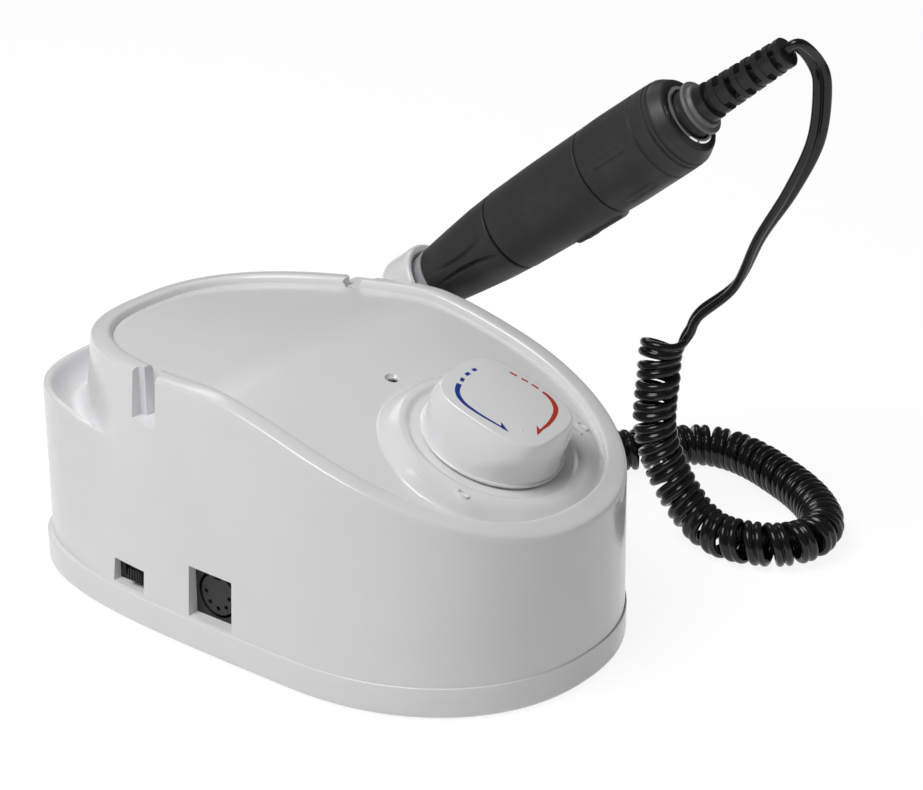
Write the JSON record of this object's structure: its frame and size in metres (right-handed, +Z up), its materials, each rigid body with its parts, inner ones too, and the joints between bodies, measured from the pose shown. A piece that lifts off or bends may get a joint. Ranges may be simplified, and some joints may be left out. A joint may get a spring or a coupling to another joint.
{
  "type": "dental lab micromotor",
  "caption": "Bench micromotor: oval moulded control unit with speed knob and sockets, and a hand-held rotary motor on a curly cord resting in its side holder.",
  "frame": {"origin": "centre of the control unit's footprint, on the surface that its feet stand on", "axes": "+Z up, -Y towards the user (dial end), +Y to the rear, -X the side with the two small windows, +X the side with the handpiece"},
  "size_m": [0.2145, 0.2121, 0.1779],
  "materials": {
    "housing": "moulded gloss, light warm grey white",
    "foot_rubber": "matt",
    "steel": "turned",
    "chrome": "bright",
    "aluminium": "satin",
    "brass": "bright",
    "iron": "laminated or sintered",
    "winding": "varnished",
    "board": "solder mask",
    "capacitor": "sleeved",
    "lamp": "diffuse lens",
    "dark_plastic": "fine texture",
    "grip": "matt charcoal",
    "collar": "satin grey",
    "cord": "glossy sheath"
  },
  "bodies": {
    "base": {"base_tray": "housing", "upper_shell": "housing", "rubber_feet": "foot_rubber", "base_screws": "steel", "pot_body": "steel", "pot_nut": "steel", "pilot_lamp": "lamp", "motor_socket": "dark_plastic", "socket_contacts": "brass", "selector_body": "dark_plastic", "circuit_board": "board", "filter_capacitor": "capacitor", "heat_sink": "aluminium", "transformer_core": "iron", "transformer_winding": "winding", "transformer_screws": "steel", "mains_inlet": "dark_plastic", "inlet_pins": "brass", "power_switch_frame": "dark_plastic", "fuse_holder": "dark_plastic", "handpiece_holder": "housing", "curly_cord": "cord", "end_plug_grip": "dark_plastic", "end_plug_shell": "steel", "end_plug_pins": "brass"},
    "knob": {"control_knob": "housing", "pot_shaft": "steel"},
    "selector": {"selector_slider": "dark_plastic"},
    "rocker": {"power_rocker": "dark_plastic"},
    "handpiece": {"nose_cone": "aluminium", "grip_sleeve": "grip", "rear_barrel": "grip", "motor_can": "steel", "end_bell": "winding", "stator_magnets": "iron", "front_bearings": "steel", "rear_bearing": "steel", "brushes": "iron", "socket_ring": "chrome", "socket_insert": "dark_plastic", "lead_plug": "dark_plastic", "plug_collar": "collar", "strain_relief": "cord", "straight_lead": "cord"},
    "chuck": {"chuck_ring": "grip"},
    "spindle": {"spindle": "steel", "rotor": "iron", "commutator": "brass"},
    "collet": {"collet": "steel"}
  },
  "joints": [
    {"name": "knob_turn", "type": "hinge", "parent": "base", "child": "knob", "pos_m": [0, -0.061, 0.06977], "axis": [0, 0.3584, -0.9336], "range_deg": [0, 294]},
    {"name": "selector_slide", "type": "slide", "parent": "base", "child": "selector", "axis": [0, 1, 0], "range_m": [0, 0.003]},
    {"name": "rocker_tip", "type": "hinge", "parent": "base", "child": "rocker", "pos_m": [-0.00538, 0.0836, 0.029], "axis": [-1, 0, 0], "range_deg": [0, 18]},
    {"name": "handpiece_lift", "type": "slide", "parent": "base", "child": "handpiece", "axis": [0.1399, -0.77, 0.6225], "range_m": [0, 0.11]},
    {"name": "chuck_turn", "type": "hinge", "parent": "handpiece", "child": "chuck", "pos_m": [0.07497, -0.0271, 0.11367], "axis": [0.1399, -0.77, 0.6225], "range_deg": [0, 80]},
    {"name": "spindle_spin", "type": "hinge", "parent": "handpiece", "child": "spindle", "pos_m": [0.07077, -0.004, 0.09499], "axis": [0.1399, -0.77, 0.6225], "continuous": true},
    {"name": "collet_open", "type": "slide", "parent": "spindle", "child": "collet", "axis": [-0.1399, 0.77, -0.6225], "range_m": [0, 0.00121]}
  ],
  "couplings": [
    {"joint": "collet_open", "follows": "chuck_turn", "m_per_rad": 0.00086}
  ]
}
